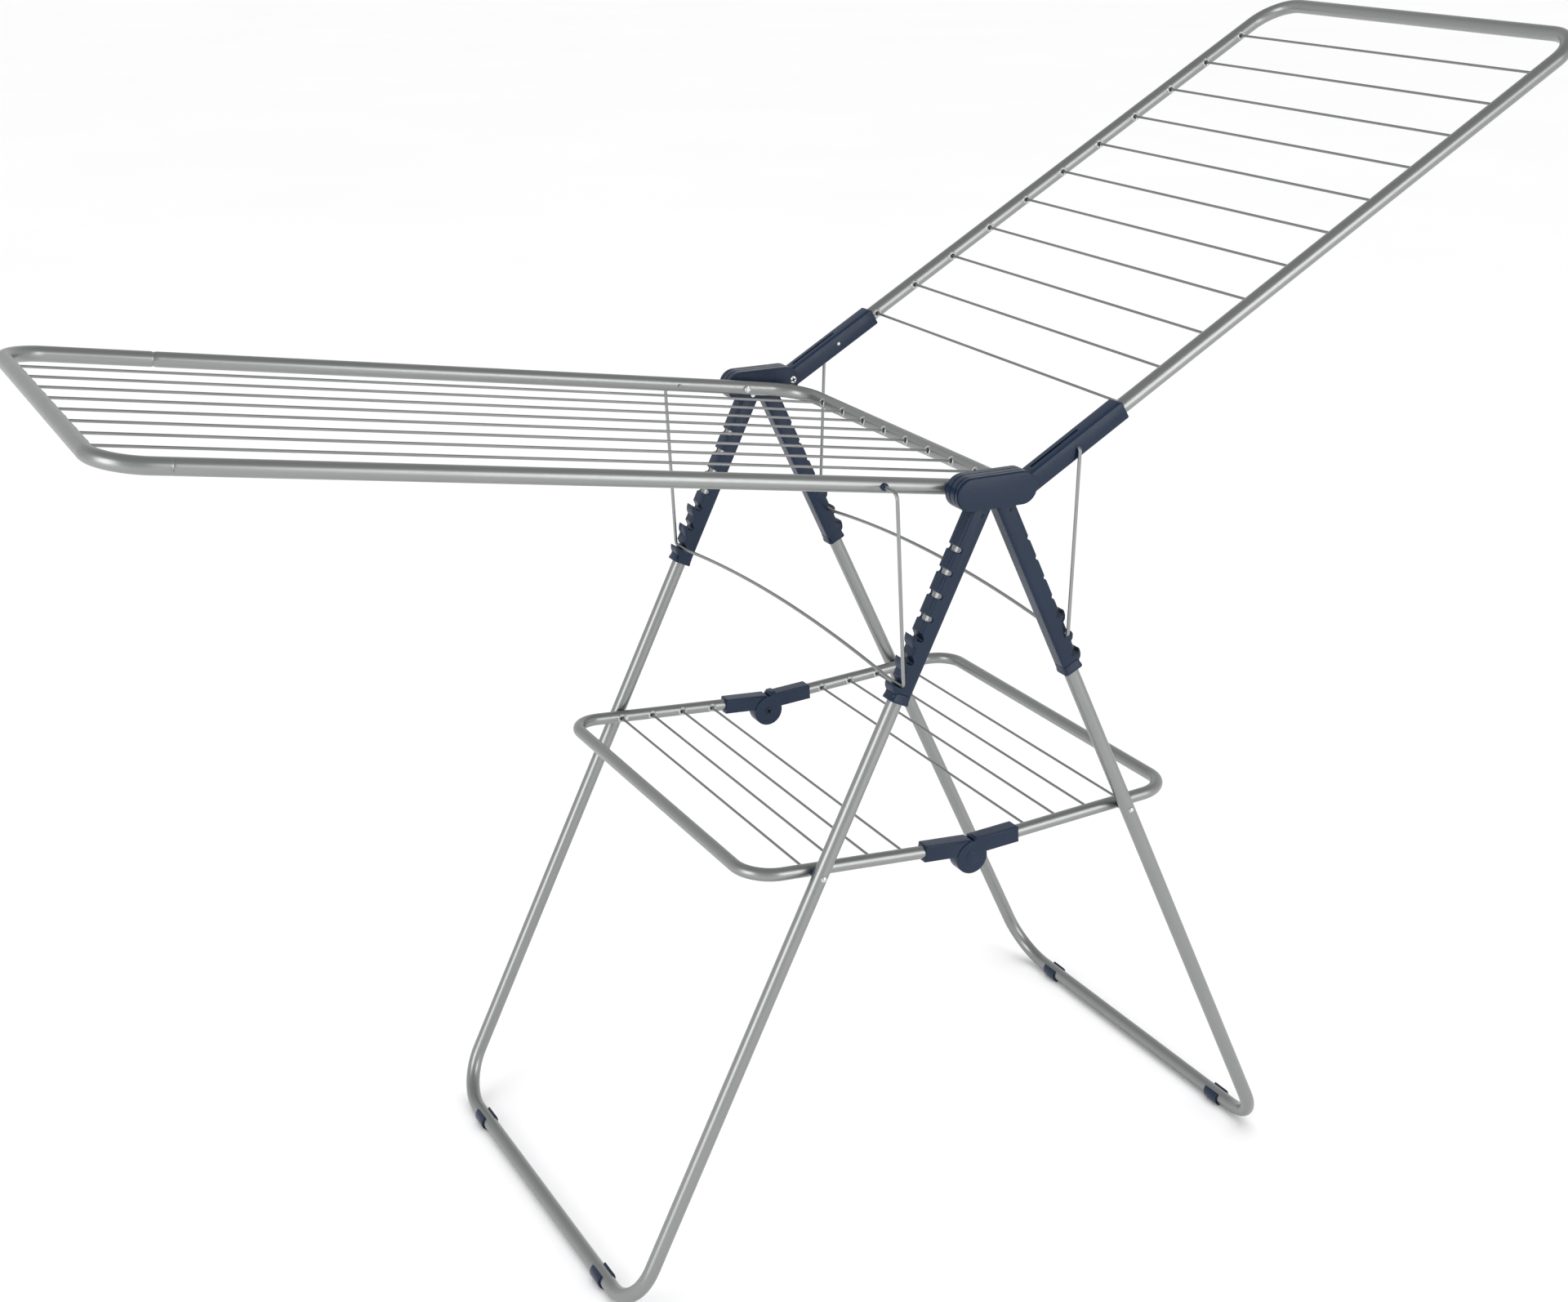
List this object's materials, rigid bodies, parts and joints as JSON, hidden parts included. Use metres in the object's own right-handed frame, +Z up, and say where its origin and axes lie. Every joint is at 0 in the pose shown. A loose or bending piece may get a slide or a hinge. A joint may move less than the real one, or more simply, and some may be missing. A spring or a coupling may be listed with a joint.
{
  "type": "folding clothes drying rack",
  "caption": "Folding winged clothes drying rack: crossed tube legs, notched sleeves, wire props, two tilting wings and a hinged lower shelf.",
  "frame": {"origin": "on the floor, under the middle of the unfolded rack's overall length and width", "axes": "+Z up; +X along the row of wings, towards the steeper wing; +Y across the rack, away from the viewer"},
  "size_m": [1.7844, 0.6048, 1.4055],
  "materials": {
    "tube_coating": "satin silver-grey powder coat",
    "drying_wire": "satin grey coated steel wire",
    "prop_wire": "satin drawn steel wire",
    "navy_plastic": "satin moulded plastic, fine texture",
    "zinc_fasteners": "bright zinc plated"
  },
  "bodies": {
    "hubs": {"hub_cap_near": "navy_plastic", "hub_cap_far": "navy_plastic", "hub_core_near": "navy_plastic", "hub_core_far": "navy_plastic", "hub_plate_near": "navy_plastic", "hub_plate_far": "navy_plastic", "leg_pins": "zinc_fasteners", "wing_left_bolts": "zinc_fasteners", "wing_right_pins": "zinc_fasteners"},
    "leg_left": {"leg_tube_left": "tube_coating", "sleeve_left_near": "navy_plastic", "sleeve_left_far": "navy_plastic", "sleeve_rivets_left": "navy_plastic", "foot_clip_left_near": "navy_plastic", "foot_clip_left_far": "navy_plastic", "shelf_rivets_left": "zinc_fasteners", "shelf_spacers_left": "navy_plastic"},
    "leg_right": {"leg_tube_right": "tube_coating", "sleeve_right_near": "navy_plastic", "sleeve_right_far": "navy_plastic", "sleeve_rivets_right": "navy_plastic", "foot_clip_right_near": "navy_plastic", "foot_clip_right_far": "navy_plastic", "shelf_rivets_right": "zinc_fasteners", "shelf_spacers_right": "navy_plastic"},
    "wing_left": {"wing_left_outer_tube": "tube_coating", "wing_left_inner_tube": "tube_coating", "wing_left_wires": "drying_wire", "wing_left_grommets": "navy_plastic"},
    "prop_left": {"prop_left": "prop_wire"},
    "wing_right": {"wing_right_tube": "tube_coating", "wing_right_arm_near": "navy_plastic", "wing_right_arm_far": "navy_plastic", "wing_right_rivets": "zinc_fasteners", "wing_right_wires": "drying_wire"},
    "prop_right": {"prop_right": "prop_wire"},
    "shelf_left": {"shelf_left_tube": "tube_coating", "shelf_left_wires": "drying_wire", "knuckle_left_near": "navy_plastic", "knuckle_left_far": "navy_plastic"},
    "shelf_right": {"shelf_right_tube": "tube_coating", "shelf_right_wires": "drying_wire", "shelf_rivet_heads": "zinc_fasteners", "knuckle_right_near": "navy_plastic", "knuckle_right_far": "navy_plastic", "knuckle_pins": "navy_plastic", "knuckle_caps": "navy_plastic"}
  },
  "joints": [
    {"name": "fold", "type": "hinge", "parent": "hubs", "child": "leg_left", "pos_m": [0.05407, 0, 0.93214], "axis": [0, -1, 0], "range_deg": [0, 25.5]},
    {"name": "fold_right", "type": "hinge", "parent": "hubs", "child": "leg_right", "pos_m": [0.08007, 0, 0.93214], "axis": [0, 1, 0], "range_deg": [0, 25.5]},
    {"name": "shelf_at_leg", "type": "hinge", "parent": "leg_left", "child": "shelf_left", "pos_m": [-0.14275, 0, 0.51948], "axis": [0, -1, 0], "range_deg": [0, 68.29]},
    {"name": "shelf_knuckle", "type": "hinge", "parent": "shelf_left", "child": "shelf_right", "pos_m": [0.06707, 0, 0.49274], "axis": [0, 1, 0], "range_deg": [0, 187.53]},
    {"name": "wing_left_lower", "type": "hinge", "parent": "hubs", "child": "wing_left", "pos_m": [0.03608, 0, 0.94604], "axis": [0, -1, 0], "range_deg": [0, 65]},
    {"name": "wing_right_lower", "type": "hinge", "parent": "hubs", "child": "wing_right", "pos_m": [0.11307, 0, 0.94644], "axis": [0, 1, 0], "range_deg": [0, 87]},
    {"name": "prop_left_swing", "type": "hinge", "parent": "wing_left", "child": "prop_left", "pos_m": [-0.05981, 0, 0.96071], "axis": [0, -1, 0], "range_deg": [-98, 0]},
    {"name": "prop_right_swing", "type": "hinge", "parent": "wing_right", "child": "prop_right", "pos_m": [0.17455, 0, 0.98236], "axis": [0, 1, 0], "range_deg": [-113.5, 0]}
  ],
  "couplings": [
    {"joint": "fold_right", "follows": "fold", "ratio": 1},
    {"joint": "shelf_at_leg", "follows": "fold", "ratio": 2.676},
    {"joint": "shelf_knuckle", "follows": "fold", "ratio": 7.352},
    {"joint": "prop_left_swing", "follows": "wing_left_lower", "ratio": -1.5},
    {"joint": "prop_right_swing", "follows": "wing_right_lower", "ratio": -1.3}
  ]
}
